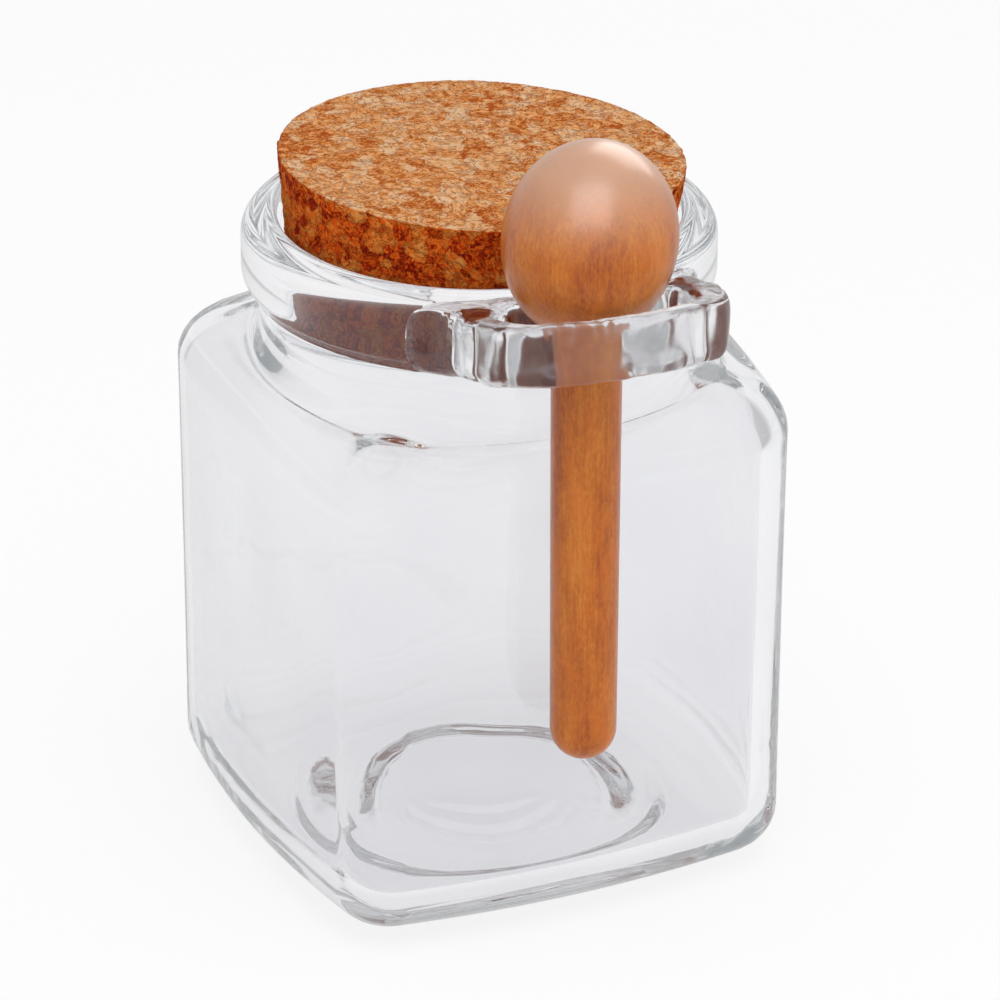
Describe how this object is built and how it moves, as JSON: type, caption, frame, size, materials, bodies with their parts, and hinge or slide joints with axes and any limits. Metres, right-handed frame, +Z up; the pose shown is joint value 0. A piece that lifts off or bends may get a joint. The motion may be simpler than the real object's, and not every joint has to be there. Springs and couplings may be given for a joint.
{
  "type": "condiment jar",
  "caption": "Square clear glass condiment jar with a round collar, a tapered cork stopper and a wooden ball-headed spoon hanging in a glass loop.",
  "frame": {"origin": "on the ground under the middle of the jar, in the plane of the ring that it stands on", "axes": "+Z up through the mouth, -Y towards the glass loop and the spoon, +X along a side of the square body"},
  "size_m": [0.07, 0.0879, 0.1148],
  "materials": {
    "glass": "gloss",
    "cork": "matte",
    "spoon_wood": "satin"
  },
  "bodies": {
    "root": {"glass_jar": "glass", "cork_stopper": "cork", "wooden_spoon": "spoon_wood"}
  },
  "joints": []
}
